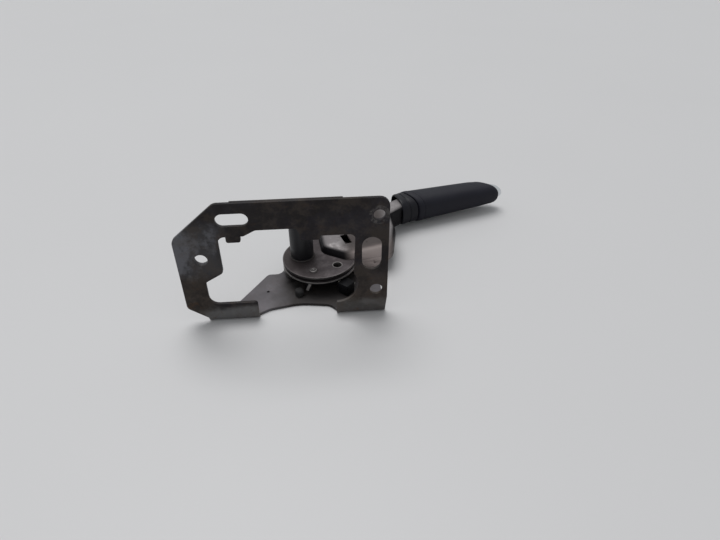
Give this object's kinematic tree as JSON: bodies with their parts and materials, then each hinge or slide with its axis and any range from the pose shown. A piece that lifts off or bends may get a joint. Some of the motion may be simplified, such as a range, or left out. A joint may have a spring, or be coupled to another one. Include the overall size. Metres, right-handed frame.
{
  "type": "parking brake lever",
  "caption": "Hand lever with round cable quadrant, ratchet and push button in the grip, hinged on a stamped two-plane floor bracket.",
  "frame": {"origin": "on the pivot axis, at the underside of the bracket's side plate", "axes": "+X along the base plate towards the handle, +Y away from the mounting face, +Z along the pivot, up from the side plate"},
  "size_m": [0.3592, 0.2054, 0.1279],
  "materials": {
    "bracket_steel": "worn dark paint with dirt and rust",
    "zinc_steel": "dull zinc",
    "hard_steel": "oiled",
    "rivet_steel": "dull",
    "stop_rubber": "matte",
    "switch_plastic": "moulded",
    "terminal_brass": "tarnished",
    "plunger_plastic": "moulded",
    "shell_steel": "grimy plated steel",
    "black_steel": "black oxide",
    "bush_brass": "sintered",
    "collar_plastic": "satin",
    "grip_leather": "fine grain",
    "spring_steel": "drawn wire",
    "button_chrome": "polished"
  },
  "bodies": {
    "bracket": {"mounting_bracket": "bracket_steel", "pivot_stud": "zinc_steel", "pivot_washer": "zinc_steel", "lock_nut": "zinc_steel", "ratchet_sector": "hard_steel", "sector_rivets": "rivet_steel", "stop_buffer": "stop_rubber", "switch_body": "switch_plastic", "switch_terminal": "terminal_brass"},
    "lever": {"upper_shell": "shell_steel", "lower_shell": "shell_steel", "quadrant_core": "hard_steel", "quadrant_rivets": "rivet_steel", "pivot_sleeve": "black_steel", "lower_bush": "bush_brass", "upper_bush": "bush_brass", "handle_tube": "shell_steel", "grip_collar": "collar_plastic", "grip": "grip_leather", "spring_seat": "hard_steel", "button_spring": "spring_steel", "pawl_pin": "zinc_steel", "pawl_spring": "spring_steel"},
    "pawl": {"pawl": "hard_steel"},
    "button": {"push_button": "button_chrome", "release_rod": "zinc_steel"},
    "plunger": {"switch_plunger": "plunger_plastic"}
  },
  "joints": [
    {"name": "lever_pivot", "type": "hinge", "parent": "bracket", "child": "lever", "pos_m": [0, 0, 0.04], "axis": [0, 0, 1], "range_deg": [0, 48]},
    {"name": "button_slide", "type": "slide", "parent": "lever", "child": "button", "axis": [-0.9659, -0.2588, 0], "range_m": [0, 0.005], "stiffness_N_per_m": 900, "springref_m": -0.004, "deforming": ["button_spring", "pawl_spring"]},
    {"name": "pawl_swing", "type": "hinge", "parent": "lever", "child": "pawl", "pos_m": [0.04532, 0.03289, 0.008], "axis": [0, 0, 1], "range_deg": [0, 28.08]},
    {"name": "plunger_slide", "type": "slide", "parent": "bracket", "child": "plunger", "axis": [0.7478, -0.6639, 0], "range_m": [0, 0.002], "stiffness_N_per_m": 400, "springref_m": -0.002}
  ],
  "couplings": [
    {"joint": "pawl_swing", "follows": "button_slide", "rad_per_m": 97.992}
  ]
}
